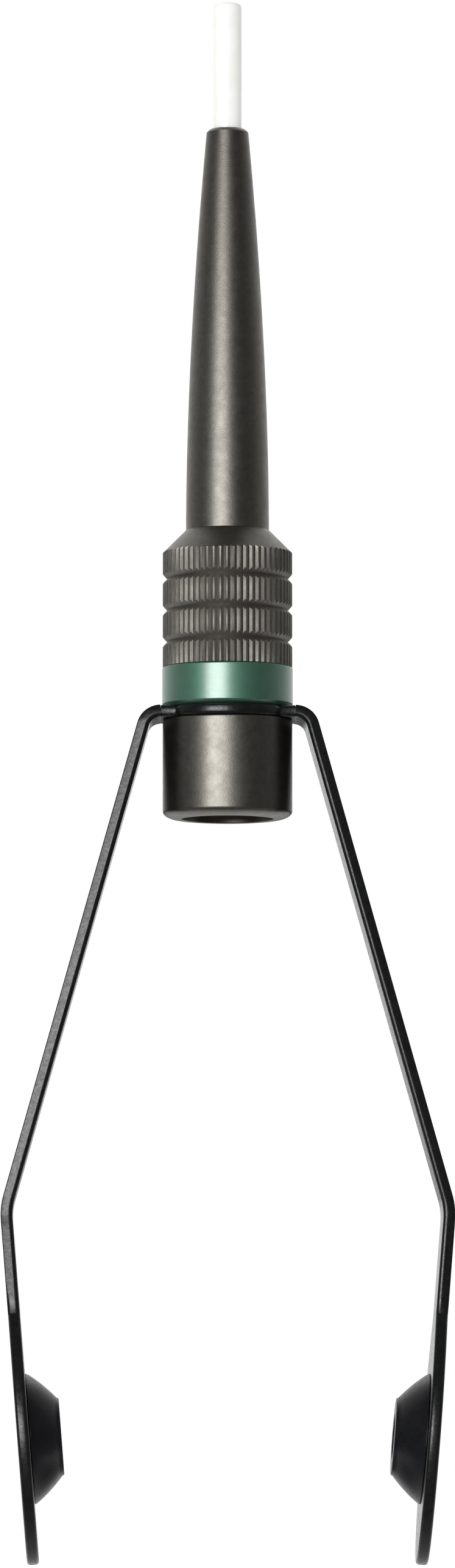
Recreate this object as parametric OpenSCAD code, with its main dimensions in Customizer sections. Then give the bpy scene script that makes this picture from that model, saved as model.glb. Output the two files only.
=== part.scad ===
// Bobbin holder for fly tying.
// It stands as it hangs in use: the thread leaves the ceramic tube at the top,
// and the sprung arms reach down to the spool.
// The origin is the centre of the tube's mouth and +Z runs out along the thread.
// The arms spread along X, and the widths of the strip and the paddles lie along Y.

/* [Ceramic tube] */
// Outer diameter of the tube
tube_d = 2.1; // [1.8:0.05:2.4]
// Diameter of the thread bore
tube_bore_d = 1.1; // [0.8:0.05:1.4]
// Length of the tube that stands out of the nose
tube_out = 9.47; // [5:0.01:14]
// Length of the tube glued into the barrel
tube_held = 13.53; // [8:0.01:17]
// Radius of the polished outer lip
tube_lip_r = 0.42; // [0.1:0.02:0.45]

/* [Barrel] */
// Length of the tapered stem, from nose to shoulder
stem_len = 29.8; // [26:0.2:36]
// Diameter of the nose around the tube
nose_d = 3.04; // [2.7:0.02:3.6]
// Diameter of the stem where it meets the shoulder
stem_d = 6.1; // [5.4:0.02:7]
// How early the stem fills out: 1 is a straight cone
stem_curve = 1.8; // [1:0.1:2.4]
// Bevel on the nose's edge
nose_bevel = 0.24; // [0.05:0.01:0.25]
// Height of the conical shoulder
shoulder_len = 1.7; // [1:0.05:2.5]
// Diameter of the thread passage through grip and spigot
passage_d = 3.2; // [2.2:0.1:4]

/* [Knurled grip] */
// Diameter over the knurl
grip_d = 9.5; // [9:0.01:11]
// Length of the grip
grip_len = 8.47; // [7:0.01:12]
// Number of axial flutes round the grip
knurl_count = 61; // [48:1:72]
// Depth of a flute
knurl_depth = 0.17; // [0.08:0.01:0.24]
// Number of V grooves round the grip
groove_count = 3; // [1:1:4]
// Distance from one V groove to the next
groove_pitch = 2.33; // [1.6:0.01:2.6]
// Width of a V groove at the surface
groove_w = 0.7; // [0.4:0.02:0.9]
// Depth of a V groove
groove_depth = 0.34; // [0.26:0.02:0.5]

/* [Colour ring] */
// Diameter of the anodised ring
ring_d = 9.58; // [9:0.01:11]
// Height of the ring
ring_len = 2.97; // [1.6:0.01:4]
// Bevel on the ring's upper edge
ring_bevel = 0.1; // [0.05:0.01:0.2]
// Bevel on the ring's lower edge
ring_foot_bevel = 0.28; // [0.05:0.01:0.4]

/* [Spigot] */
// Diameter of the threaded spigot under the grip
spigot_d = 6; // [5:0.1:6.6]
// Length of thread inside the tail sleeve
spigot_grip = 3.2; // [2:0.1:3.4]

/* [Tail sleeve] */
// Outer diameter of the sleeve nut
sleeve_d = 9.5; // [9:0.01:11]
// Length of the sleeve nut
sleeve_len = 7.31; // [6.8:0.01:11]
// Width across the sleeve of its rounded lower edge
sleeve_edge_w = 1.2; // [0.4:0.05:1.25]
// Height of the rounded lower edge
sleeve_edge_h = 0.6; // [0.3:0.05:0.7]
// Bevel on the upper edge
sleeve_bevel = 0.12; // [0.05:0.01:0.2]
// Diameter of the mouth's straight bore
mouth_d = 6.7; // [5.6:0.1:6.8]
// Depth and radial width of the mouth's bevel
mouth_bevel = 0.08; // [0.04:0.01:0.12]
// Height of the funnel between mouth and spigot
funnel_len = 1.2; // [0.6:0.1:1.6]

/* [Sprung frame] */
// Thickness of the spring-steel sheet
sheet_t = 0.88; // [0.6:0.02:1]
// Diameter of the frame's clamping washer
washer_d = 9.5; // [9:0.01:11]
// Width of an arm at its shoulder
root_w = 6; // [4.8:0.1:7]
// Width of an arm above its paddle
neck_w = 5; // [3.6:0.1:5.8]
// Distance from the axis to the start of the shoulder bend
shoulder_x = 4.92; // [4.8:0.02:6]
// Inside radius of the shoulder bend
shoulder_r = 0.9; // [0.7:0.05:1.5]
// Lean of an arm's upper length away from the axis, in degrees
arm_lean = 15.7; // [12:0.1:20]
// Width over both knees
knee_span = 33.05; // [30:0.05:40]
// Radius of the knee at mid thickness
knee_r = 5; // [3:0.2:8]
// Lean of an arm's lower length back towards the axis, in degrees
toe_in = 4.5; // [2:0.1:6]
// Height of the frame, from washer to paddle tips
frame_h = 62.59; // [60:0.01:72]
// How far an arm springs outward, in degrees
spring_open = 6; // [3:1:8]

/* [Paddles] */
// Length of a paddle's oval
paddle_len = 18.2; // [15:0.1:21]
// Width of a paddle's oval
paddle_w = 12; // [11:0.1:14]
// Size of the blend between arm and paddle
neck_blend = 2.4; // [0.5:0.1:4]

/* [Spool buttons] */
// Diameter of a button's base
button_d = 9.5; // [8.4:0.02:10.4]
// Diameter of a button's inner face
button_face_d = 5.7; // [4.8:0.1:6.4]
// Height of a button
button_h = 2.3; // [2.1:0.05:3.2]
// Height of the upright rim at the base
button_rim = 0.1; // [0.05:0.05:0.5]
// Swell of the flank past a straight cone
button_swell = 0.12; // [0:0.02:0.25]
// Width of the bevel on the inner face's edge
button_bevel = 0.15; // [0.05:0.01:0.3]

/* [Pivot rivets] */
// Diameter of the rivet's shank
rivet_d = 1.6; // [1.2:0.05:2]
// Diameter of the rivet's two heads
rivet_head_d = 2.9; // [2.6:0.05:3.4]
// Depth of the countersunk head in the paddle
rivet_sink = 0.5; // [0.3:0.02:0.55]
// Height of the peened head inside the button
rivet_head_h = 0.45; // [0.3:0.05:0.6]

/* [Fits] */
// Radial clearance of a turning fit
running_gap = 0.05; // [0.02:0.01:0.08]
// Clearance between a button and its paddle
face_gap = 0.02; // [0.01:0.01:0.08]
// Radial clearance of a glued or clamped fit
seat_gap = 0.03; // [0.02:0.01:0.05]
// Radial room round a rivet's inner head
head_gap = 0.2; // [0.1:0.02:0.3]

/* [Hidden] */
$fn = 96;

// Overrun of every cut past the face that it opens
overrun = 1;
// Steps along a curved outline
curve_steps = 14;
edge_steps = 6;
bend_steps = 12;
outline_steps = 56;

// Heights of the seats down the axis, from the tube's mouth at zero
nose_z = -tube_out;
shoulder_z = nose_z - stem_len;
grip_z = shoulder_z - shoulder_len;
ring_z = grip_z - grip_len;
washer_z = ring_z - ring_len;
sleeve_z = washer_z - sheet_t;
tail_z = sleeve_z - sleeve_len;
tip_z = washer_z - frame_h;
tube_foot_z = nose_z - tube_held;
spigot_end_z = sleeve_z - spigot_grip;

// Passage from the glued tube down to the full diameter
throat_d = tube_bore_d * 1.3;
throat_len = passage_d * 1.9;
spigot_bevel = sheet_t / 2;

// Midline of the bent strip, in the XZ plane of the right arm
mid_z = washer_z - sheet_t / 2;
bend_mid_r = shoulder_r + sheet_t / 2;
bend_z = mid_z - bend_mid_r;
turn_upper = 90 - arm_lean;
turn_lower = 90 + toe_in;
knee_x = knee_span / 2 - sheet_t / 2 - knee_r;
upper_len = (knee_x - shoulder_x + (knee_r - bend_mid_r) * sin(turn_upper)) / cos(turn_upper);
bend_end = bend_point(turn_upper);
upper_end = bend_end + upper_len * along(turn_upper);
knee_centre = upper_end - knee_r * outward(turn_upper);
knee_end = knee_centre + knee_r * outward(turn_lower);
lower_len = (knee_end[1] - tip_z) / sin(turn_lower);

// Seat of a button, on the strip's midline at the middle of the oval
seat_z = tip_z + paddle_len / 2;
seat_x = knee_end[0] + (knee_end[1] - seat_z) / tan(turn_lower);

// The sliver between washer and arm that lets the arm spring open
seam_turn = spring_open * 4 / 3;

// The strip turns clockwise from the washer, and these are its outward normal and its
// direction after it has turned by an angle
function outward(turn) = [sin(turn), cos(turn)];
function along(turn) = [cos(turn), -sin(turn)];
function bend_point(turn) = [shoulder_x, bend_z] + bend_mid_r * outward(turn);

// Places along the strip, each with its turn: shoulder bend, knee, tip
function bend_turns() = [for (i = [0:bend_steps]) seam_turn + (turn_upper - seam_turn) * i / bend_steps];
function knee_turns() = [for (i = [0:bend_steps]) turn_upper + (turn_lower - turn_upper) * i / bend_steps];
function strip_side(offset) = concat(
    [for (turn = bend_turns()) bend_point(turn) + offset * outward(turn)],
    [for (turn = knee_turns()) knee_centre + (knee_r + offset) * outward(turn)],
    [knee_end + lower_len * along(turn_lower) + offset * outward(turn_lower)]);

// A maximum that rounds the corner where its two values meet
function blend_max(a, b, size) = max(a, b) + pow(max(size - abs(a - b), 0), 2) / (4 * size);

// Half widths of the arm seen along X
function oval_half(z) = paddle_w / 2 * sqrt(max(0, 1 - pow((z - seat_z) / (paddle_len / 2), 2)));
function strip_half(z) = z > seat_z
    ? neck_w / 2 + (root_w - neck_w) / 2 * (z - seat_z) / (washer_z - seat_z)
    : 0;
function arm_half(z) = z > seat_z
    ? blend_max(strip_half(z), oval_half(z), neck_blend)
    : oval_half(z);
// The heights crowd towards the tip, where the oval turns fastest
function arm_heights() = [for (i = [0:outline_steps]) tip_z + frame_h * pow(i / outline_steps, 2)];

// Stem radius at a share of its length below the nose
function stem_r(part) = stem_d / 2 - (stem_d - nose_d) / 2 * pow(1 - part, stem_curve);

// Button radius at a share of the flank's height above its rim
function flank_r(part) = button_d / 2 - (button_d - button_face_d) / 2 * part
    + button_swell * 4 * part * (1 - part);

// Revolves a wall between an outer and an inner radius
module collar(d, bore_d, top_z, height, bevel_top, bevel_foot) {
    rotate_extrude()
        polygon([
            [bore_d / 2, top_z],
            [d / 2 - bevel_top, top_z],
            [d / 2, top_z - bevel_top],
            [d / 2, top_z - height + bevel_foot],
            [d / 2 - bevel_foot, top_z - height],
            [bore_d / 2, top_z - height]
        ]);
}

// Hard white tube with a rounded, polished lip at both ends
module ceramic_tube() {
    color("white")
        rotate_extrude()
            difference() {
                union() {
                    translate([tube_bore_d / 2, -tube_out - tube_held + tube_lip_r])
                        square([(tube_d - tube_bore_d) / 2, tube_out + tube_held - 2 * tube_lip_r]);
                    for (end_z = [-tube_lip_r, -tube_out - tube_held + tube_lip_r]) {
                        translate([tube_d / 2 - tube_lip_r, end_z])
                            circle(tube_lip_r);
                        translate([tube_bore_d / 2, end_z - tube_lip_r])
                            square([tube_d / 2 - tube_lip_r - tube_bore_d / 2, 2 * tube_lip_r]);
                    }
                }
                translate([-overrun, -tube_out - tube_held - overrun])
                    square([tube_bore_d / 2 + overrun, tube_out + tube_held + 2 * overrun]);
            }
}

// The V grooves stand evenly about the grip's middle
module groove_cuts() {
    middle_z = grip_z - grip_len / 2;
    for (i = [0:groove_count - 1])
        translate([grip_d / 2, middle_z + groove_pitch * ((groove_count - 1) / 2 - i)])
            polygon([
                [0, groove_w / 2],
                [overrun, groove_w / 2],
                [overrun, -groove_w / 2],
                [0, -groove_w / 2],
                [-groove_depth, 0]
            ]);
}

// Stem that fills out from the nose to the shoulder
module stem() {
    rotate_extrude()
        polygon(concat(
            [[0, nose_z], [nose_d / 2 - nose_bevel, nose_z]],
            [for (i = [0:curve_steps])
                let (part = i == 0 ? nose_bevel / stem_len : i / curve_steps)
                [stem_r(part), nose_z - stem_len * part]],
            [[0, shoulder_z]]));
}

// Shoulder cone and grip, with V grooves round it and flutes along it
module grip() {
    flute = 360 / knurl_count;
    ridge_share = 0.24;
    intersection() {
        rotate_extrude()
            difference() {
                polygon([
                    [0, shoulder_z],
                    [stem_d / 2, shoulder_z],
                    [grip_d / 2, grip_z],
                    [grip_d / 2, ring_z],
                    [0, ring_z]
                ]);
                groove_cuts();
            }
        translate([0, 0, ring_z - overrun])
            linear_extrude(grip_len + shoulder_len + 2 * overrun)
                polygon([for (i = [0:knurl_count - 1], side = [-1, 1, 2])
                    let (turn = flute * (i + (side == 2 ? 0.5 : side * ridge_share)))
                    let (r = side == 2 ? grip_d / 2 - knurl_depth : grip_d / 2)
                    r * [cos(turn), sin(turn)]]);
    }
}

// Thread passage: the tube's socket, a throat, a cone and the straight bore
module passage() {
    socket_r = tube_d / 2 + seat_gap;
    rotate_extrude()
        polygon([
            [0, nose_z + overrun],
            [socket_r, nose_z + overrun],
            [socket_r, tube_foot_z],
            [throat_d / 2, tube_foot_z],
            [passage_d / 2, tube_foot_z - throat_len],
            [passage_d / 2, spigot_end_z - overrun],
            [0, spigot_end_z - overrun]
        ]);
}

// Turned in one piece: stem, shoulder, grip and the threaded spigot
module barrel() {
    color("dimgray")
        difference() {
            union() {
                stem();
                grip();
                collar(spigot_d, 0, ring_z, ring_z - spigot_end_z, 0, spigot_bevel);
            }
            passage();
        }
}

// Anodised ring between grip and frame
module colour_ring() {
    color("seagreen")
        collar(ring_d, spigot_d + 2 * seat_gap, ring_z, ring_len, ring_bevel, ring_foot_bevel);
}

// Middle of the stamped frame: the clamped washer and the stubs of its two arms
module frame_washer() {
    color([0.11, 0.11, 0.12])
        translate([0, 0, sleeve_z])
            linear_extrude(sheet_t)
                difference() {
                    union() {
                        circle(d = washer_d);
                        square([2 * shoulder_x, root_w], center = true);
                    }
                    circle(d = spigot_d + 2 * seat_gap);
                }
}

// Sleeve nut that clamps ring and frame, with a funnel mouth for the thread
module tail_sleeve() {
    socket_foot_z = spigot_end_z - seat_gap;
    color([0.2, 0.19, 0.18])
        difference() {
            rotate_extrude()
                polygon(concat(
                    [
                        [0, sleeve_z],
                        [sleeve_d / 2 - sleeve_bevel, sleeve_z],
                        [sleeve_d / 2, sleeve_z - sleeve_bevel]
                    ],
                    [for (i = [0:edge_steps])
                        let (turn = 90 * i / edge_steps)
                        [sleeve_d / 2 - sleeve_edge_w * (1 - cos(turn)),
                            tail_z + sleeve_edge_h * (1 - sin(turn))]],
                    [[0, tail_z]]));
            rotate_extrude()
                polygon([
                    [0, sleeve_z + overrun],
                    [spigot_d / 2 + seat_gap, sleeve_z + overrun],
                    [spigot_d / 2 + seat_gap, socket_foot_z],
                    [passage_d / 2, socket_foot_z],
                    [mouth_d / 2, socket_foot_z - funnel_len],
                    [mouth_d / 2, tail_z + mouth_bevel],
                    [mouth_d / 2 + mouth_bevel, tail_z],
                    [mouth_d / 2 + mouth_bevel, tail_z - overrun],
                    [0, tail_z - overrun]
                ]);
        }
}

// Puts a shape on the right paddle: z = 0 is mid thickness and +z points at the spool
module at_seat() {
    translate([seat_x, 0, seat_z])
        rotate([0, toe_in - 90, 0])
            children();
}

// Bent strip with its paddle, and the countersunk hole for the rivet
module arm() {
    color([0.11, 0.11, 0.12])
        difference() {
            intersection() {
                rotate([90, 0, 0])
                    translate([0, 0, -paddle_w])
                        linear_extrude(2 * paddle_w)
                            polygon(concat(
                                strip_side(sheet_t / 2),
                                [for (i = [len(strip_side(0)) - 1:-1:0]) strip_side(-sheet_t / 2)[i]]));
                rotate([90, 0, 90])
                    linear_extrude(knee_span)
                        polygon(concat(
                            [for (z = arm_heights()) [arm_half(z), z]],
                            [for (i = [outline_steps:-1:0]) let (z = arm_heights()[i]) [-arm_half(z), z]]));
            }
            at_seat()
                rivet_hole();
        }
}

// Hole through the paddle, countersunk from outside
module rivet_hole() {
    rotate_extrude()
        polygon([
            [0, -sheet_t / 2 - overrun],
            [rivet_head_d / 2, -sheet_t / 2 - overrun],
            [rivet_head_d / 2, -sheet_t / 2],
            [rivet_d / 2, -sheet_t / 2 + rivet_sink],
            [rivet_d / 2, sheet_t / 2 + overrun],
            [0, sheet_t / 2 + overrun]
        ]);
}

// Heights inside the button, from the paddle's mid thickness
button_foot = sheet_t / 2 + face_gap;
recess_depth = rivet_head_h + head_gap;
recess_floor = button_foot + button_h - recess_depth;

// Pin with a flush head in the paddle and a peened head inside the button
module rivet() {
    head_r = rivet_head_d / 2;
    color("gray")
        rotate_extrude()
            polygon([
                [0, -sheet_t / 2],
                [head_r, -sheet_t / 2],
                [rivet_d / 2, -sheet_t / 2 + rivet_sink],
                [rivet_d / 2, recess_floor + running_gap],
                [head_r, recess_floor + running_gap],
                [head_r, recess_floor + rivet_head_h / 2],
                [head_r - rivet_head_h / 2, recess_floor + rivet_head_h],
                [0, recess_floor + rivet_head_h]
            ]);
}

// Conical plastic seat for one end of the spool, free to turn on its rivet
module button() {
    flank_h = button_h - button_rim - button_bevel;
    face_z = button_foot + button_h;
    recess_r = rivet_head_d / 2 + head_gap;
    color([0.07, 0.07, 0.08])
        rotate_extrude()
            polygon(concat(
                [[rivet_d / 2 + running_gap, button_foot], [button_d / 2, button_foot]],
                [for (i = [0:curve_steps / 2])
                    let (part = i / (curve_steps / 2))
                    [flank_r(part), button_foot + button_rim + flank_h * part]],
                [
                    [button_face_d / 2 - button_bevel, face_z],
                    [recess_r, face_z],
                    [recess_r, recess_floor],
                    [rivet_d / 2 + running_gap, recess_floor]
                ]));
}

module right_arm() arm();
module left_arm() mirror([1, 0, 0]) arm();
module right_rivet() at_seat() rivet();
module left_rivet() mirror([1, 0, 0]) at_seat() rivet();
module right_button() at_seat() button();
module left_button() mirror([1, 0, 0]) at_seat() button();

ceramic_tube();
barrel();
colour_ring();
frame_washer();
tail_sleeve();
left_arm();
right_arm();
left_rivet();
right_rivet();
left_button();
right_button();
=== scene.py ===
import bpy
import bmesh
from math import atan2, cos, pi, radians, sin, sqrt, tan
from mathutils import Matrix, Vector


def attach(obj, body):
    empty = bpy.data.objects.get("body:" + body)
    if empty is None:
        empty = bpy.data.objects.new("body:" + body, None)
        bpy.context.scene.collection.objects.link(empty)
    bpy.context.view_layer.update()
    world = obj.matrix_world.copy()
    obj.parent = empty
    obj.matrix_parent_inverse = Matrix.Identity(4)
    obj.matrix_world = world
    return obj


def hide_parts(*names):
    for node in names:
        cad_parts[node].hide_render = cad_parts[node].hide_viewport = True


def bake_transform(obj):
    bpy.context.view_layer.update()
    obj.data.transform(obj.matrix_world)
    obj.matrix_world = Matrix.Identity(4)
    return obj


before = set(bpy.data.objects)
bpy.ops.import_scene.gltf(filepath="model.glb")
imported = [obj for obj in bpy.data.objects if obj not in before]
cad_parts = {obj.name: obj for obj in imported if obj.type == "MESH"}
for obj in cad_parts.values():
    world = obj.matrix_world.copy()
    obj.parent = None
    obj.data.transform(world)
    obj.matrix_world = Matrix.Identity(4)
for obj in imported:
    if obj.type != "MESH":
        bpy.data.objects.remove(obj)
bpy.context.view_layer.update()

# Camera: a long lens in front of the tool, a little to its left and level with the paddle
# tips, so that it looks slightly up at the grip and the arms are seen on their thin edges.
MM = 0.001
camera_spot = Vector((-11, -620, -115)) * MM
tool_middle = Vector((0, 0, -57.98)) * MM
lens_length = 195
film_width = 36


def toward_tool(spot):
    """The turn that points a camera or a lamp from its spot to the middle of the tool."""
    return (tool_middle - spot).to_track_quat("-Z", "Y").to_euler()


bpy.ops.object.camera_add(location=camera_spot)
camera = bpy.context.object
camera.name = "camera"
camera.rotation_euler = toward_tool(camera_spot)
camera.data.sensor_width = film_width
camera.data.lens = lens_length
camera.data.dof.use_dof = False
bpy.context.scene.camera = camera
bpy.context.scene.view_settings.view_transform = "Standard"

# Studio lights: a white sweep behind the tool and a dark room in front of it, which shiny parts
# show, one soft box low at the front left, and one above and behind.
# Shiny parts see the sweep brighten to the back and a little downward, by this curve.
sweep_tilt = -0.4
sweep_falloff = 2.6
sweep_dark, sweep_bright = 0.1, 1.35
# Dull surfaces get an even light that is weaker from the front.
room_front, room_back = 0.34, 1.0
front_box_watts = 5.4
top_box_watts = 1.2


def worked_out(tree, kind, *terms, operation=None):
    """Adds a shader node and gives its output. The inputs that it uses take the terms in their
    order: each is a number or another node's output, and None leaves an input as it is."""
    node = tree.nodes.new("ShaderNode" + kind)
    if operation:
        node.operation = operation
    for socket, term in zip([s for s in node.inputs if s.enabled], terms):
        if isinstance(term, bpy.types.NodeSocket):
            tree.links.new(term, socket)
        elif term is not None:
            socket.default_value = term
    return next(s for s in node.outputs if s.enabled)


def axis(tree, place, name):
    """One of the three numbers of a place or a direction."""
    return worked_out(tree, "SeparateXYZ", place).node.outputs[name]


def shiny_ray(tree, ray):
    """1 for what shiny and clear parts mirror or show through, and 0 for all else."""
    return worked_out(tree, "Math", ray["Is Glossy Ray"], ray["Is Transmission Ray"],
                      operation="MAXIMUM")


world = bpy.data.worlds.new("studio")
bpy.context.scene.world = world
world.use_nodes = True
world.cycles.sampling_method = "NONE"
tree = world.node_tree
direction = tree.nodes.new("ShaderNodeTexCoord").outputs["Generated"]
backward = axis(tree, direction, "Y")
low_behind = worked_out(tree, "Math", axis(tree, direction, "Z"), sweep_tilt, backward,
                        operation="MULTIPLY_ADD")
behind = worked_out(tree, "MapRange", low_behind, -1, 1, 0, 1)
falloff = worked_out(tree, "Math", behind, sweep_falloff, operation="POWER")
sweep = worked_out(tree, "MapRange", falloff, 0, 1, sweep_dark, sweep_bright)
room = worked_out(tree, "MapRange", backward, -1, 1, room_front, room_back)
ray = tree.nodes.new("ShaderNodeLightPath").outputs
level = worked_out(tree, "Mix", shiny_ray(tree, ray), room, sweep)
white_seen = worked_out(tree, "Mix", ray["Is Camera Ray"], level, 1)
tree.links.new(white_seen, tree.nodes["Background"].inputs["Strength"])
tree.nodes["Background"].inputs["Color"].default_value = (1, 1, 1, 1)


def soft_box(name, place, size, watts):
    """An area lamp at a place in mm, turned to the middle of the tool."""
    spot = Vector(place) * MM
    bpy.ops.object.light_add(type="AREA", location=spot)
    lamp = bpy.context.object
    lamp.name = name
    lamp.rotation_euler = toward_tool(spot)
    lamp.data.shape = "RECTANGLE"
    lamp.data.size = size[0] * MM
    lamp.data.size_y = size[1] * MM
    lamp.data.energy = watts
    lamp.visible_camera = False


soft_box("soft_box_front", (-308, -845, 10), (540, 240), front_box_watts)
soft_box("soft_box_top", (0, 480, 560), (700, 700), top_box_watts)

# Floor: a wide sheet of white paper just under the tool, which runs out to plain white for the camera.
# Shiny parts see a painted reflection of it: a glow painted dark in front of the tool, with a painted
# shadow between the paddles and a painted end far out.
floor_height = -115.5
floor_metres = 12
paper_white = (0.86, 0.86, 0.86)
paper_roughness = 0.9
# The camera sees this share of plain white near the tool, and all plain white further out.
plain_near = 0.35
plain_start, plain_end = 120, 500
# The paper's painted reflection in shiny parts: its painted darker level in front of the tool, and
# where it brightens to the back.
front_level = 0.15
front_edge, back_edge = -9, 1
# Its level in a painted shadow between the paddles, and how far that painted shadow reaches from its
# middle.
shade_level = 0.15
shade_middle = (0, 5, floor_height)
shade_inner, shade_outer = 4, 12
# The painted reflection's level past where it is painted to end, though the paper itself runs on.
beyond_level = 0.06
end_start, end_end = 150, 400


def eased(tree, number, start, end, low, high):
    """Goes softly from one level to another while a length goes from start to end in mm."""
    level = worked_out(tree, "MapRange", number, start * MM, end * MM, low, high)
    level.node.interpolation_type = "SMOOTHSTEP"
    return level


def painted(name, piece, colour, metallic, roughness):
    """A new material on a piece, with its uniform values set on the shader."""
    material = bpy.data.materials.new(name)
    material.use_nodes = True
    skin = material.node_tree.nodes["Principled BSDF"]
    skin.inputs["Base Color"].default_value = (*colour, 1)
    skin.inputs["Metallic"].default_value = metallic
    skin.inputs["Roughness"].default_value = roughness
    piece.data.materials.clear()
    piece.data.materials.append(material)
    return material, skin


bpy.ops.mesh.primitive_plane_add(size=floor_metres, location=(0, 0, floor_height * MM))
floor = bpy.context.object
floor.name = "floor"
bpy.ops.object.transform_apply(location=True)
paper, skin = painted("white_paper", floor, paper_white, metallic=0, roughness=paper_roughness)
skin.inputs["Specular IOR Level"].default_value = 0
tree = paper.node_tree
place = tree.nodes.new("ShaderNodeTexCoord").outputs["Object"]
reach = worked_out(tree, "VectorMath", place, operation="LENGTH")
from_painted_shade = worked_out(tree, "VectorMath", place, Vector(shade_middle) * MM, operation="DISTANCE")
plain_share = eased(tree, reach, plain_start, plain_end, plain_near, 1)
# A painted reflection: shiny parts see the paper's glow painted dark in front of the tool.
behind_tool = eased(tree, axis(tree, place, "Y"), front_edge, back_edge, front_level, 1)
# A painted shadow, seen only in shiny parts, darkens the paper's glow between the paddles.
painted_shade = eased(tree, from_painted_shade, shade_inner, shade_outer, shade_level, 1)
# The painted reflection is painted to fade out far from the tool.
painted_paper_end = eased(tree, reach, end_start, end_end, 1, beyond_level)
painted_front_and_shade = worked_out(tree, "Math", behind_tool, painted_shade, operation="MULTIPLY")
painted_reflection_level = worked_out(tree, "Math", painted_front_and_shade, painted_paper_end, operation="MULTIPLY")
ray = tree.nodes.new("ShaderNodeLightPath").outputs
shiny = shiny_ray(tree, ray)
# For shiny parts the paper glows at this painted reflection level, in place of its lit look.
glow_level = worked_out(tree, "Mix", shiny, 1, painted_reflection_level)
glow = worked_out(tree, "Emission", None, glow_level)
glow_share = worked_out(tree, "Math", ray["Is Camera Ray"], plain_share, shiny,
                        operation="MULTIPLY_ADD")
surface = worked_out(tree, "MixShader", glow_share, skin.outputs["BSDF"], glow)
tree.links.new(surface, tree.nodes["Material Output"].inputs["Surface"])

# Ceramic tube: hard white alumina, which the thread runs out of. Both ends are ground round and
# polished so that the thread can't fray, and the lower half is glued into the barrel.
tube_r = 1.05
tube_bore_r = 0.55
tube_out = 9.47
tube_held = 13.53
tube_lip = 0.42
bore_lip = 0.08
tube_facets = 64
alumina_white = (0.87, 0.87, 0.85)
alumina_shades = (0.85, 0.85, 0.82), (0.89, 0.89, 0.87)
alumina_ior = 1.7


def arc(centre, radius, start, end, steps):
    """Points on an arc of a profile, from one angle to another in degrees."""
    turns = [radians(start + (end - start) * i / steps) for i in range(steps + 1)]
    return [(centre[0] + radius * cos(t), centre[1] + radius * sin(t)) for t in turns]


def turned(name, profile, facets, solid=False, shares=(0,)):
    """Turns a profile about Z, ring after ring, as a lathe would, and closes it. A station of the
    profile is a radius and a height in mm. Two more numbers sink flutes into its ring: their depth,
    and how far their floors lie below it. Each point of a ring sinks by its share of the depth."""
    bpy.ops.object.select_all(action="DESELECT")
    stations = [(*station, 0, 0)[:4] for station in profile]
    if not solid:
        stations.append(stations[0])
    radius, height, depth, drop = stations[0]
    bpy.ops.mesh.primitive_circle_add(
        vertices=facets, radius=radius * MM, location=(0, 0, height * MM),
        fill_type="NGON" if solid else "NOTHING", enter_editmode=True)
    for new_radius, new_height, new_depth, new_drop in stations[1:]:
        bpy.ops.mesh.extrude_region_move()
        mesh = bmesh.from_edit_mesh(bpy.context.object.data)
        ring = [v for v in mesh.verts if v.select]
        fluted = depth or new_depth
        for share in sorted(set(shares)) if fluted else [0]:
            if fluted:
                bpy.ops.mesh.select_all(action="DESELECT")
                for v in ring:
                    point = round(atan2(v.co.y, v.co.x) / (2 * pi / facets))
                    v.select_set(shares[point % len(shares)] == share)
            size = (new_radius - new_depth * share) / (radius - depth * share)
            rise = new_height - height - (new_drop - drop) * share
            bpy.ops.transform.resize(value=(size, size, 1), center_override=(0, 0, 0))
            bpy.ops.transform.translate(value=(0, 0, rise * MM))
        for v in ring:
            v.select_set(True)
        mesh.select_flush(True)
        radius, height, depth, drop = new_radius, new_height, new_depth, new_drop
    return finished(name)


def finished(name):
    """Closes the mesh being edited, turns its faces outward and puts its place in its mesh."""
    bpy.ops.mesh.select_all(action="SELECT")
    bpy.ops.mesh.remove_doubles(threshold=0.002 * MM)
    bpy.ops.mesh.normals_make_consistent(inside=False)
    bpy.ops.object.mode_set(mode="OBJECT")
    bpy.ops.object.transform_apply(location=True, rotation=True, scale=True)
    piece = bpy.context.object
    piece.name = name
    smooth(piece)
    return piece


def smooth(piece):
    """Shades a piece smooth between its sharp edges."""
    sharp_angle = 32
    bpy.ops.object.shade_smooth_by_angle(angle=radians(sharp_angle))
    even_shading(piece)


def even_shading(piece):
    """Lets the large faces keep their own direction in the smooth shading, beside narrow roundings."""
    weighted = piece.modifiers.new("even_shading", "WEIGHTED_NORMAL")
    weighted.keep_sharp = True
    bpy.context.view_layer.objects.active = piece
    bpy.ops.object.modifier_apply(modifier=weighted.name)


def grain(material, size, detail=2.0, stretch=(1, 1, 1)):
    """A noise pattern fixed to the piece, with grains of about the given size in mm."""
    tree = material.node_tree
    place = tree.nodes.new("ShaderNodeTexCoord").outputs["Object"]
    turn = tree.nodes.new("ShaderNodeMapping")
    turn.inputs["Scale"].default_value = stretch
    tree.links.new(place, turn.inputs["Vector"])
    noise = tree.nodes.new("ShaderNodeTexNoise")
    noise.inputs["Scale"].default_value = 1 / (size * MM)
    noise.inputs["Detail"].default_value = detail
    tree.links.new(turn.outputs["Vector"], noise.inputs["Vector"])
    return noise.outputs["Fac"]


def spread(material, pattern, socket, low, high):
    """Carries a noise pattern to a shader socket, as numbers from low to high."""
    faint, strong = 0.3, 0.7
    level = worked_out(material.node_tree, "MapRange", pattern, faint, strong, low, high)
    material.node_tree.links.new(level, socket)


def tinted(material, skin, pattern, dark, light):
    """Colours a surface between two shades by a noise pattern."""
    faint, strong = 0.32, 0.68
    tree = material.node_tree
    ramp = tree.nodes.new("ShaderNodeValToRGB")
    for stop, position, shade in zip(ramp.color_ramp.elements, (faint, strong), (dark, light)):
        stop.position, stop.color = position, (*shade, 1)
    tree.links.new(pattern, ramp.inputs["Fac"])
    tree.links.new(ramp.outputs["Color"], skin.inputs["Base Color"])


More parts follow.
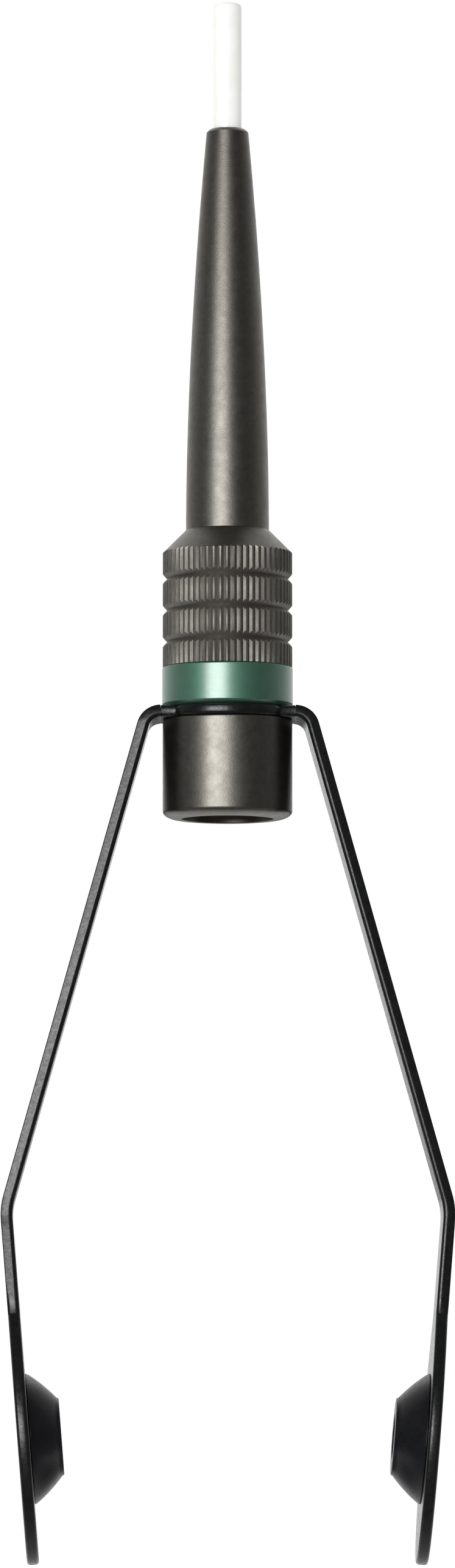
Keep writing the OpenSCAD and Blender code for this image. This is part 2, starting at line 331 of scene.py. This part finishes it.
tube_foot = -tube_out - tube_held
tube = turned("ceramic_tube_polished", [
    *arc((tube_r - tube_lip, -tube_lip), tube_lip, 90, 0, 8),
    *arc((tube_r - tube_lip, tube_foot + tube_lip), tube_lip, 0, -90, 8),
    *arc((tube_bore_r + bore_lip, tube_foot + bore_lip), bore_lip, 270, 180, 3),
    *arc((tube_bore_r + bore_lip, -bore_lip), bore_lip, 180, 90, 3)], tube_facets)
alumina, skin = painted("polished_alumina", tube, alumina_white, metallic=0, roughness=0.14)
skin.inputs["IOR"].default_value = alumina_ior
tinted(alumina, skin, grain(alumina, 1.6), *alumina_shades)
spread(alumina, grain(alumina, 0.5), skin.inputs["Roughness"], 0.1, 0.18)
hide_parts("ceramic_tube")
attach(tube, "holder")

# Barrel: the body of the tool, turned from one bar of aluminium, bead blasted and anodised a
# dark bronze grey. It has a tapered stem, a conical shoulder, a grip with cut flutes along it
# and three V grooves round it, and a threaded spigot that the other parts clamp on.
glue_gap = 0.03
socket_bevel = 0.05
nose_r = 1.52
nose_bevel = 0.24
stem_r = 3.05
stem_len = 29.8
stem_curve = 1.8
stem_stations = 26
shoulder_len = 1.7
grip_r = 4.75
grip_len = 8.47
grip_edge = 0.06
flutes = 61
flute_depth = 0.125
# How deep each point of a flute lies, from its floor round to the flat top of the ridge.
flute_shares = [1, 0.67, 0.33, 0, 0, 0, 0.33, 0.67]
groove_count = 3
groove_pitch = 2.33
groove_half = 0.35
groove_depth = 0.34
# The grooves' lips are broken: the cut starts a little outside and eats into the flutes.
lip_out = 0.04
lip_inward = 0.01
lip_depth = 0.03
lip_flute_depth = 0.105
spigot_r = 3.0
spigot_len = 7.05
spigot_bevel = 0.44
passage_r = 1.6
throat_r = 0.715
throat_len = 6.08
bronze_grey = (0.19, 0.181, 0.162)
bronze_shades = (0.173, 0.165, 0.147), (0.207, 0.197, 0.177)
# The cut grip is rougher and lighter than the blasted stem, with a short blend at its top.
cut_rougher = 0.13
cut_lighter = 1.26
cut_blend = 0.05
nose = -tube_out
shoulder = nose - stem_len
grip_top = shoulder - shoulder_len
grip_foot = grip_top - grip_len
grip_middle = grip_top - grip_len / 2
socket_r = tube_r + glue_gap
spigot_foot = grip_foot - spigot_len


def stem_radius(share):
    """The stem's swelling taper, at a share of its length from the nose."""
    return stem_r - (stem_r - nose_r) * (1 - share) ** stem_curve


def rough_skin(material, skin, pattern, height):
    """Raises the surface by a noise pattern, up to a height in mm."""
    tree = material.node_tree
    bump = tree.nodes.new("ShaderNodeBump")
    bump.inputs["Distance"].default_value = height * MM
    bump.inputs["Strength"].default_value = 1
    tree.links.new(pattern, bump.inputs["Height"])
    tree.links.new(bump.outputs["Normal"], skin.inputs["Normal"])


def anodised_dark(piece):
    """Bead-blasted aluminium under a dark bronze-grey anodic layer."""
    material, skin = painted("dark_anodised_aluminium", piece, bronze_grey, metallic=1, roughness=0.42)
    tinted(material, skin, grain(material, 0.35, 4), *bronze_shades)
    spread(material, grain(material, 0.9), skin.inputs["Roughness"], 0.39, 0.45)
    rough_skin(material, skin, grain(material, 0.09, 3), 0.006)
    return material, skin


profile = [(socket_r, tube_foot), (socket_r, nose - socket_bevel), (socket_r + socket_bevel, nose),
           (nose_r - nose_bevel, nose), (nose_r - 0.55 * nose_bevel, nose - 0.3 * nose_bevel)]
for i in range(stem_stations + 1):
    share = max(nose_bevel / stem_len, i / stem_stations)
    profile.append((stem_radius(share), nose - stem_len * share))
for share in (0.3, 0.6):
    profile.append((stem_r + share * (grip_r - stem_r), shoulder - share * shoulder_len))
profile.append((grip_r, grip_top, flute_depth, -flute_depth * shoulder_len / (grip_r - stem_r)))
flute_drop = groove_half * flute_depth / groove_depth
for i in range(1, groove_count + 1):
    groove = grip_middle + groove_pitch * ((groove_count + 1) / 2 - i)
    profile += [(grip_r, groove + groove_half + lip_out, flute_depth, flute_drop),
                (grip_r - lip_depth, groove + groove_half - lip_inward, lip_flute_depth, flute_drop),
                (grip_r - groove_depth, groove),
                (grip_r - lip_depth, groove - groove_half + lip_inward, lip_flute_depth, -flute_drop),
                (grip_r, groove - groove_half - lip_out, flute_depth, -flute_drop)]
profile += [(grip_r, grip_foot + grip_edge, flute_depth), (grip_r - grip_edge, grip_foot, flute_depth),
            (spigot_r, grip_foot), (spigot_r, spigot_foot + spigot_bevel),
            (spigot_r - spigot_bevel, spigot_foot), (passage_r, spigot_foot),
            (passage_r, tube_foot - throat_len), (throat_r, tube_foot)]
barrel = turned("barrel_turned", profile, flutes * len(flute_shares), shares=flute_shares)

bronze, skin = anodised_dark(barrel)
tree = bronze.node_tree
height = axis(tree, tree.nodes.new("ShaderNodeTexCoord").outputs["Object"], "Z")
cut_from, cut_to = (grip_top + cut_blend) * MM, (grip_top - cut_blend) * MM
rougher = worked_out(tree, "MapRange", height, cut_from, cut_to, 0, cut_rougher)
lighter = worked_out(tree, "MapRange", height, cut_from, cut_to, 1, cut_lighter)
blasted_roughness = skin.inputs["Roughness"].links[0].from_socket
blasted_colour = skin.inputs["Base Color"].links[0].from_socket
tree.links.new(worked_out(tree, "Math", blasted_roughness, rougher, operation="ADD"),
               skin.inputs["Roughness"])
tree.links.new(worked_out(tree, "VectorMath", blasted_colour, lighter, operation="SCALE"),
               skin.inputs["Base Color"])
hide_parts("barrel")
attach(barrel, "holder")

# Colour ring: a plain aluminium ring under the grip, polished and anodised green, with a clear
# sealed surface. The tail sleeve clamps it against the grip.
ring_r = 4.79
ring_len = 2.97
ring_bore_r = 3.03
ring_edge = 0.1
ring_bevel = 0.28
# The bevel's two corners are broken, a little more along the faces than across them.
corner_along = 0.03
corner_across = 0.02
ring_facets = 144
anodic_green = (0.107, 0.3, 0.205)
green_shades = (0.101, 0.285, 0.195), (0.113, 0.315, 0.215)
seal_ior = 2.0
seal_roughness = 0.33
ring_foot = grip_foot - ring_len
bevel_top = ring_foot + ring_bevel
bevel_r = ring_r - ring_bevel
ring = turned("colour_ring_anodised", [
    (ring_bore_r, grip_foot), *arc((ring_r - ring_edge, grip_foot - ring_edge), ring_edge, 90, 0, 4),
    (ring_r, bevel_top + corner_along), (ring_r - corner_across, bevel_top - corner_across),
    (bevel_r + corner_across, ring_foot + corner_across), (bevel_r - corner_along, ring_foot),
    (ring_bore_r, ring_foot)], ring_facets)
green, skin = painted("green_anodised_aluminium", ring, anodic_green, metallic=1, roughness=0.62)
skin.inputs["Coat Weight"].default_value = 1
skin.inputs["Coat IOR"].default_value = seal_ior
skin.inputs["Coat Roughness"].default_value = seal_roughness
tinted(green, skin, grain(green, 0.8, 3), *green_shades)
spread(green, grain(green, 0.4, 3, (1, 1, 6)), skin.inputs["Roughness"], 0.58, 0.66)
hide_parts("colour_ring")
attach(ring, "holder")

# Frame washer: the middle of the sprung frame, stamped from one sheet of spring steel, tumbled
# so that its edges are rounded, and coated black. The sleeve clamps it under the ring, and its
# two stubs run on into the arms without a joint.
sheet = 0.88
washer_r = 4.75
washer_facets = 128
root_w = 6.0
shoulder_x = 4.92
edge_round = 0.26
hair = 0.001  # nearer than this, two places in mm count as one
coat_black = (0.005, 0.0054, 0.006)
coat_shades = (0.0035, 0.0038, 0.0042), (0.007, 0.0075, 0.008)
coat_specular = 0.4
washer_foot = ring_foot - sheet
stub_x = sqrt(washer_r ** 2 - (root_w / 2) ** 2)


def choose(test):
    """Selects, in the mesh being edited, only the points that pass a test on their place in mm."""
    bpy.ops.mesh.select_all(action="DESELECT")
    piece = bpy.context.object
    mesh = bmesh.from_edit_mesh(piece.data)
    for v in mesh.verts:
        v.select_set(bool(test(piece.matrix_world @ v.co / MM)))
    mesh.select_flush(True)
    bmesh.update_edit_mesh(piece.data)


def choose_faces(test):
    """Selects only the faces that pass a test on their middle's place in mm and on their facing."""
    bpy.ops.mesh.select_mode(type="FACE")
    piece = bpy.context.object
    for face in bmesh.from_edit_mesh(piece.data).faces:
        place = piece.matrix_world @ face.calc_center_median() / MM
        facing = piece.matrix_world.to_3x3() @ face.normal
        face.select_set(bool(test(place, facing)))


def rounded_edges(piece, width, sharper_than):
    """Rounds the edges of a piece that are sharper than an angle, with a bevel, and applies it."""
    bevel = piece.modifiers.new("rounded_edges", "BEVEL")
    bevel.width = width * MM
    bevel.segments = 4
    bevel.limit_method = "ANGLE"
    bevel.angle_limit = radians(sharper_than)
    bevel.use_clamp_overlap = False
    bpy.context.view_layer.objects.active = piece
    bpy.ops.object.modifier_apply(modifier=bevel.name)


def close_ends(piece):
    """Fills the open ends of a piece with flat faces."""
    bpy.context.view_layer.objects.active = piece
    bpy.ops.object.mode_set(mode="EDIT")
    bpy.ops.mesh.select_all(action="DESELECT")
    bpy.ops.mesh.select_non_manifold()
    bpy.ops.mesh.edge_face_add()


def black_coat(piece):
    """A thin black baked coat over spring steel, satin, with the pimples of a dipped finish."""
    material, skin = painted("black_coated_steel", piece, coat_black, metallic=0, roughness=0.3)
    skin.inputs["Specular IOR Level"].default_value = coat_specular
    tinted(material, skin, grain(material, 0.5, 4), *coat_shades)
    spread(material, grain(material, 0.22, 3), skin.inputs["Roughness"], 0.22, 0.34)
    rough_skin(material, skin, grain(material, 0.3, 3), 0.008)


bpy.ops.object.select_all(action="DESELECT")
bpy.ops.mesh.primitive_circle_add(vertices=washer_facets, radius=washer_r * MM, enter_editmode=True,
                                  location=(0, 0, washer_foot * MM))
bpy.ops.mesh.extrude_region_move()
bpy.ops.transform.resize(value=(ring_bore_r / washer_r, ring_bore_r / washer_r, 1),
                         center_override=(0, 0, 0))
for side in (1, -1):
    bpy.ops.mesh.select_all(action="SELECT")
    bpy.ops.mesh.bisect(plane_co=(side * stub_x * MM, 0, 0), plane_no=(side, 0, 0), clear_outer=True)
    choose(lambda place: side * place.x > stub_x - hair)
    bpy.ops.mesh.extrude_region_move(
        TRANSFORM_OT_translate={"value": (side * (shoulder_x - stub_x) * MM, 0, 0)})
bpy.ops.mesh.select_all(action="SELECT")
bpy.ops.mesh.remove_doubles(threshold=0.002 * MM)
bpy.ops.mesh.extrude_region_move(TRANSFORM_OT_translate={"value": (0, 0, sheet * MM)})
bpy.ops.mesh.select_all(action="SELECT")
bpy.ops.mesh.normals_make_consistent(inside=False)
# The stubs' ends stay open until the edges are rounded, so that the rounding runs out over them.
choose_faces(lambda place, facing: abs(facing.x) > 0.99 and abs(place.x) > shoulder_x - hair)
bpy.ops.mesh.delete(type="ONLY_FACE")
bpy.ops.mesh.select_mode(type="VERT")
bpy.ops.object.mode_set(mode="OBJECT")
washer = bpy.context.object
rounded_edges(washer, edge_round, sharper_than=40)
close_ends(washer)
washer = finished("frame_washer_stamped")
black_coat(washer)
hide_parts("frame_washer")
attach(washer, "holder")

# Arms: the two sprung arms of the frame, of the same coated sheet as the washer. Each is bent
# down at the shoulder, runs out to a second bend at its knee, and ends in an oval paddle.
# They press the spool between them.
bend_inner_r = 0.9
bend_r = bend_inner_r + sheet / 2
arm_lean = 15.7
toe_in = 4.5
knee_r = 5.0
knee_span = 33.05
frame_height = 62.59
neck_w = 5.0
neck_blend = 2.4
paddle_half_len = 9.1
paddle_half_w = 6.0
# The strip's cut edge stands upright on the spool's side and leans in over the rest of the sheet,
# where it is rounded less. The paddle's cut edge is upright all through.
edge_upright = 0.36
edge_lean = 0.11
lean_round = 0.07
rivet_r = 0.8
rivet_head_r = 1.45
rivet_sink = 0.5
hole_gap = 0.02
hole_facets = 48
bend_steps = 10
upper_steps = 8
knee_steps = 8
neck_steps = 6
# Where the paddle's oval starts, as a share of its half length, and its stations in degrees.
oval_start = 0.999
oval_turns = (*range(4, 177, 4), 178, 179.2)
knee_x = knee_span / 2 - sheet / 2 - knee_r
arm_tip = ring_foot - frame_height
bend_z = ring_foot - sheet / 2 - bend_r
upper_turn = radians(90 - arm_lean)
lower_turn = radians(90 + toe_in)
upper_len = (knee_x - shoulder_x + (knee_r - bend_r) * sin(upper_turn)) / cos(upper_turn)
bend_end = Vector((shoulder_x + bend_r * sin(upper_turn), bend_z + bend_r * cos(upper_turn)))
upper_end = bend_end + upper_len * Vector((cos(upper_turn), -sin(upper_turn)))
knee_z = upper_end.y - knee_r * cos(upper_turn)
knee_end = Vector((knee_x + knee_r * sin(lower_turn), knee_z + knee_r * cos(lower_turn)))
seat_z = arm_tip + paddle_half_len
seat_x = knee_end.x + (knee_end.y - seat_z) / tan(lower_turn)


def half_width(z):
    """Half the arm's width at a height: a tapering strip that flares into the paddle's oval."""
    oval = paddle_half_w * sqrt(max(0, 1 - ((z - seat_z) / paddle_half_len) ** 2))
    if z <= seat_z:
        return oval
    strip = (neck_w + (root_w - neck_w) * (z - seat_z) / (ring_foot - seat_z)) / 2
    return max(strip, oval) + max(neck_blend - abs(strip - oval), 0) ** 2 / (4 * neck_blend)


def widen(old, new):
    """Scales the end that was just drawn out, in width, to that of its new height."""
    bpy.ops.transform.resize(value=(1, half_width(new) / half_width(old), 1), center_override=(0, 0, 0))


def draw_out(height, stations, turn):
    """Draws the open end straight on, from height to height, each time as wide as the arm is there."""
    for new_height in stations:
        run = (height - new_height) / sin(turn)
        bpy.ops.mesh.extrude_region_move(TRANSFORM_OT_translate={
            "value": (run * cos(turn) * MM, 0, -run * sin(turn) * MM)})
        widen(height, new_height)
        height = new_height


# A thin strip is drawn from the shoulder to the paddle's tip, bent on the way.
bpy.ops.object.select_all(action="DESELECT")
root = (shoulder_x * MM, 0, (washer_foot + edge_upright / 2) * MM)
bpy.ops.mesh.primitive_plane_add(size=1, rotation=(0, pi / 2, 0), enter_editmode=True, location=root)
bpy.ops.transform.resize(value=(1, root_w * MM, edge_upright * MM), center_override=root)
bpy.ops.mesh.spin(steps=bend_steps, angle=-upper_turn, axis=(0, 1, 0),
                  center=(shoulder_x * MM, 0, bend_z * MM))
bpy.ops.transform.resize(value=(1, 2 * half_width(bend_end.y) / root_w, 1), center_override=(0, 0, 0))
upper_stations = [bend_end.y + (upper_end.y - bend_end.y) * i / upper_steps
                  for i in range(1, upper_steps + 1)]
draw_out(bend_end.y, upper_stations, upper_turn)
bpy.ops.mesh.spin(steps=knee_steps, angle=upper_turn - lower_turn, axis=(0, 1, 0),
                  center=(knee_x * MM, 0, knee_z * MM))
widen(upper_stations[-1], knee_end.y)
paddle_top = seat_z + paddle_half_len * oval_start
neck_stations = [knee_end.y + (paddle_top - knee_end.y) * i / neck_steps
                 for i in range(1, neck_steps + 1)]
oval_stations = [seat_z + paddle_half_len * cos(radians(turn)) for turn in oval_turns]
draw_out(knee_end.y, neck_stations + oval_stations, lower_turn)
bpy.ops.mesh.select_all(action="SELECT")
bpy.ops.mesh.normals_make_consistent(inside=False)

# The flat faces below the knee are made whole, so that the rounding runs clean round the tip.
tip_half_w = half_width(oval_stations[-1])
flat_top = knee_end.y - 0.5  # clear of the knee's bend
bpy.ops.mesh.select_mode(type="EDGE")
bpy.ops.mesh.select_all(action="DESELECT")
arm = bpy.context.object
mesh = bmesh.from_edit_mesh(arm.data)
for edge in mesh.edges:
    start, end = [arm.matrix_world @ v.co / MM for v in edge.verts]
    across = abs(start.z - end.z) < hair and abs(start.y + end.y) < hair
    edge.select_set(across and abs(start.y) > tip_half_w + 10 * hair and start.z < flat_top)
bpy.ops.mesh.dissolve_edges(use_verts=False)

# The root is opened, the outer face is raised to the full sheet, and the strip's edge leans in.
choose_faces(lambda place, facing: place.x < shoulder_x + hair)
bpy.ops.mesh.delete(type="ONLY_FACE")
choose_faces(lambda place, facing: abs(facing.y) < 0.1 and facing.x + facing.z > 0)
bpy.ops.mesh.inset(use_boundary=False, thickness=0, depth=(sheet - edge_upright) * MM)
bpy.ops.mesh.select_mode(type="VERT")
mesh = bmesh.from_edit_mesh(arm.data)
for v in mesh.verts:
    place = arm.matrix_world @ v.co / MM
    v.select_set(v.select and place.x > shoulder_x + hair and place.z > paddle_top - 10 * hair)
mesh.select_flush(True)
bpy.ops.transform.resize(value=(1, 1 - 2 * edge_lean / neck_w, 1), center_override=(0, 0, 0))
bpy.ops.object.mode_set(mode="OBJECT")
bpy.ops.object.transform_apply(location=True, rotation=True)
rounded_edges(arm, edge_round, sharper_than=80)
rounded_edges(arm, lean_round, sharper_than=60)
close_ends(arm)
arm = finished("right_arm_bent")


def take_in_hand(piece):
    """Makes a piece the only one that the next operators act on."""
    bpy.ops.object.select_all(action="DESELECT")
    piece.select_set(True)
    bpy.context.view_layer.objects.active = piece


def on_seat(piece):
    """Moves a piece turned about Z to the spool's seat on the right paddle, its top to the spool."""
    piece.rotation_euler = (0, radians(toe_in - 90), 0)
    piece.location = (seat_x * MM, 0, seat_z * MM)
    take_in_hand(piece)
    bpy.ops.object.transform_apply(location=True, rotation=True)


def cut(piece, tool):
    """Takes the tool's shape out of a piece and removes the tool."""
    boolean = piece.modifiers.new("cut", "BOOLEAN")
    boolean.operation = "DIFFERENCE"
    boolean.object = tool
    boolean.solver = "EXACT"
    bpy.context.view_layer.objects.active = piece
    bpy.ops.object.modifier_apply(modifier=boolean.name)
    bpy.data.objects.remove(tool)


def mirrored(piece, name):
    """A copy of a right-hand piece for the left side, with its own mesh."""
    copy = piece.copy()
    copy.data = piece.data.copy()
    copy.name = name
    bpy.context.scene.collection.objects.link(copy)
    take_in_hand(copy)
    copy.scale = (-1, 1, 1)
    bpy.ops.object.transform_apply(scale=True)
    bpy.ops.object.mode_set(mode="EDIT")
    bpy.ops.mesh.select_all(action="SELECT")
    bpy.ops.mesh.normals_make_consistent(inside=False)
    if bmesh.from_edit_mesh(copy.data).calc_volume(signed=True) < 0:
        bpy.ops.mesh.flip_normals()
    bpy.ops.object.mode_set(mode="OBJECT")
    bpy.ops.mesh.customdata_custom_splitnormals_clear()
    even_shading(copy)
    return copy


# The rivet's hole is countersunk from outside. On the seat, heights run from outside to inside.
outside, inside = -sheet / 2, sheet / 2
drill = turned("drill", [(rivet_head_r + hole_gap, outside - 1), (rivet_head_r + hole_gap, outside),
                         (rivet_r + hole_gap, outside + rivet_sink), (rivet_r + hole_gap, inside + 1)],
               hole_facets, solid=True)
on_seat(drill)
cut(arm, drill)
take_in_hand(arm)
smooth(arm)
black_coat(arm)
left_arm = mirrored(arm, "left_arm_bent")
for side, piece, body in ((1, arm, "right_arm"), (-1, left_arm, "left_arm")):
    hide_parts(body)
    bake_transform(piece)

# Tail sleeve: a sleeve nut of the same dark anodised aluminium, screwed on the spigot to clamp
# ring and frame. Its lower edge is rounded, and its bevelled funnel mouth leads the thread in.
sleeve_r = 4.75
sleeve_len = 7.31
sleeve_edge_w = 1.2
sleeve_edge_h = 0.6
sleeve_bevel = 0.12
sleeve_facets = 144
mouth_r = 3.35
mouth_bevel = 0.08
funnel_len = 1.2
spigot_gap = 0.03
sleeve_top = washer_foot
tail = sleeve_top - sleeve_len
socket_foot = spigot_foot - spigot_gap
sleeve = turned("tail_sleeve_turned", [
    (ring_bore_r, sleeve_top),
    *arc((sleeve_r - sleeve_bevel, sleeve_top - sleeve_bevel), sleeve_bevel, 90, 0, 3),
    *[(sleeve_r - sleeve_edge_w + sleeve_edge_w * x, tail + sleeve_edge_h + sleeve_edge_h * z)
      for x, z in arc((0, 0), 1, 0, -90, 12)],
    *arc((mouth_r + mouth_bevel, tail + mouth_bevel), mouth_bevel, 270, 180, 3),
    (mouth_r, socket_foot - funnel_len),
    (passage_r, socket_foot), (ring_bore_r, socket_foot)], sleeve_facets)
anodised_dark(sleeve)
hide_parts("tail_sleeve")
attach(sleeve, "holder")

# Spool buttons: two cones of black moulded plastic that enter the ends of the spool and turn
# with it. Each has a short upright rim at its foot, a bevelled face, and a recess for the
# peened end of its rivet.
button_r = 4.75
button_face_r = 2.85
button_h = 2.3
button_rim = 0.1
button_swell = 0.12
button_bevel = 0.15
button_facets = 96
foot_edge = 0.03
rim_edge = 0.02
recess_edge = 0.05
recess_r = rivet_head_r + 0.2
recess_depth = 0.65
paddle_gap = 0.02
pivot_gap = 0.05
flank_steps = 10
moulded_black = (0.006, 0.0065, 0.0078)
moulded_shades = (0.004, 0.0042, 0.0058), (0.0065, 0.0068, 0.009)
moulded_specular = 0.3
button_foot = inside + paddle_gap
button_bore_r = rivet_r + pivot_gap
face = button_foot + button_h
recess_floor = face - recess_depth
flank_h = button_h - button_rim - button_bevel
flank = []
for i in range(1, flank_steps + 1):
    up = i / flank_steps
    flank.append((button_r - (button_r - button_face_r) * up + button_swell * 4 * up * (1 - up),
                  button_foot + button_rim + flank_h * up))
button = turned("right_button_moulded", [
    (button_bore_r, button_foot), (button_r - foot_edge, button_foot),
    (button_r, button_foot + foot_edge), (button_r, button_foot + button_rim - rim_edge), *flank,
    *arc((button_face_r - button_bevel, face - button_bevel), button_bevel, 45, 90, 3),
    (recess_r + recess_edge, face), (recess_r, face - recess_edge), (recess_r, recess_floor),
    (button_bore_r, recess_floor)], button_facets)
on_seat(button)
moulded, skin = painted("black_moulded_plastic", button, moulded_black, metallic=0, roughness=0.34)
skin.inputs["Specular IOR Level"].default_value = moulded_specular
tinted(moulded, skin, grain(moulded, 0.9, 3), *moulded_shades)
spread(moulded, grain(moulded, 0.3, 3), skin.inputs["Roughness"], 0.28, 0.4)
rough_skin(moulded, skin, grain(moulded, 0.12, 2), 0.006)
left_button = mirrored(button, "left_button_moulded")
for piece, body in ((button, "right_button"), (left_button, "left_button")):
    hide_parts(body)
    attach(piece, body)

# Pivot rivets: a steel rivet holds each button on its paddle. Its countersunk head lies flush
# outside, and the other end is peened over in the button's recess, so that the button can turn.
head_middle_r = 0.3
head_edge = 0.04
head_flush = 0.01
peened_gap = 0.05
peened_edge = 0.05
peened_h = 0.45
# The peened end's dome: how far each point lies in from its edge, and how high, as a share.
peened_dome = [(0.06, 0.55), (0.3, 0.82), (0.65, 0.96)]
peened_top_r = 0.4
rivet_facets = 64
steel_grey = (0.1, 0.1, 0.105)
steel_shades = (0.07, 0.07, 0.075), (0.13, 0.13, 0.135)
head_height = outside + head_flush
peened_foot = recess_floor + peened_gap
rivet = turned("right_rivet_peened", [
    (head_middle_r, head_height), (rivet_head_r - head_edge, head_height),
    (rivet_head_r, head_height + head_edge), (rivet_r, outside + rivet_sink),
    (rivet_r, peened_foot), (rivet_head_r - peened_edge, peened_foot),
    (rivet_head_r, peened_foot + peened_edge),
    *[(rivet_head_r - inward, recess_floor + peened_h * share) for inward, share in peened_dome],
    (peened_top_r, recess_floor + peened_h)], rivet_facets, solid=True)
on_seat(rivet)
steel, skin = painted("rivet_steel", rivet, steel_grey, metallic=1, roughness=0.36)
tinted(steel, skin, grain(steel, 0.25, 3), *steel_shades)
spread(steel, grain(steel, 0.2, 3), skin.inputs["Roughness"], 0.3, 0.45)
left_rivet = mirrored(rivet, "left_rivet_peened")
for piece, body in ((rivet, "right_arm"), (left_rivet, "left_arm")):
    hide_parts(body.replace("arm", "rivet"))
    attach(piece, body)
